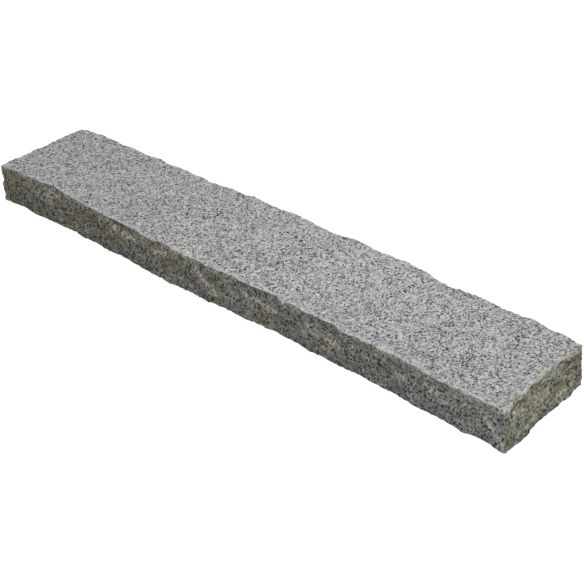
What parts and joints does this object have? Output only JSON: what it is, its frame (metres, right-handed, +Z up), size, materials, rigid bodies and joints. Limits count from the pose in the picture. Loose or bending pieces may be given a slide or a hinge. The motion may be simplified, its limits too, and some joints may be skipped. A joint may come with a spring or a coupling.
{
  "type": "granite kerb stone",
  "caption": "Flat rectangular granite kerb stone with a level bed, a flat rough-finished top and irregular split sides and ends, for edging paths, beds and paving.",
  "frame": {"origin": "middle of the block's outline, on the bed face it lies on", "axes": "+X along the length towards the nearer end in the picture, +Y across towards the back, +Z up from the bed face to the top face"},
  "size_m": [1.0149, 0.2108, 0.066],
  "materials": {
    "granite": "rough, flamed top and split sides, salt-and-pepper light grey with darker olive-stained sides"
  },
  "bodies": {
    "root": {"kerb_stone": "granite"}
  },
  "joints": []
}
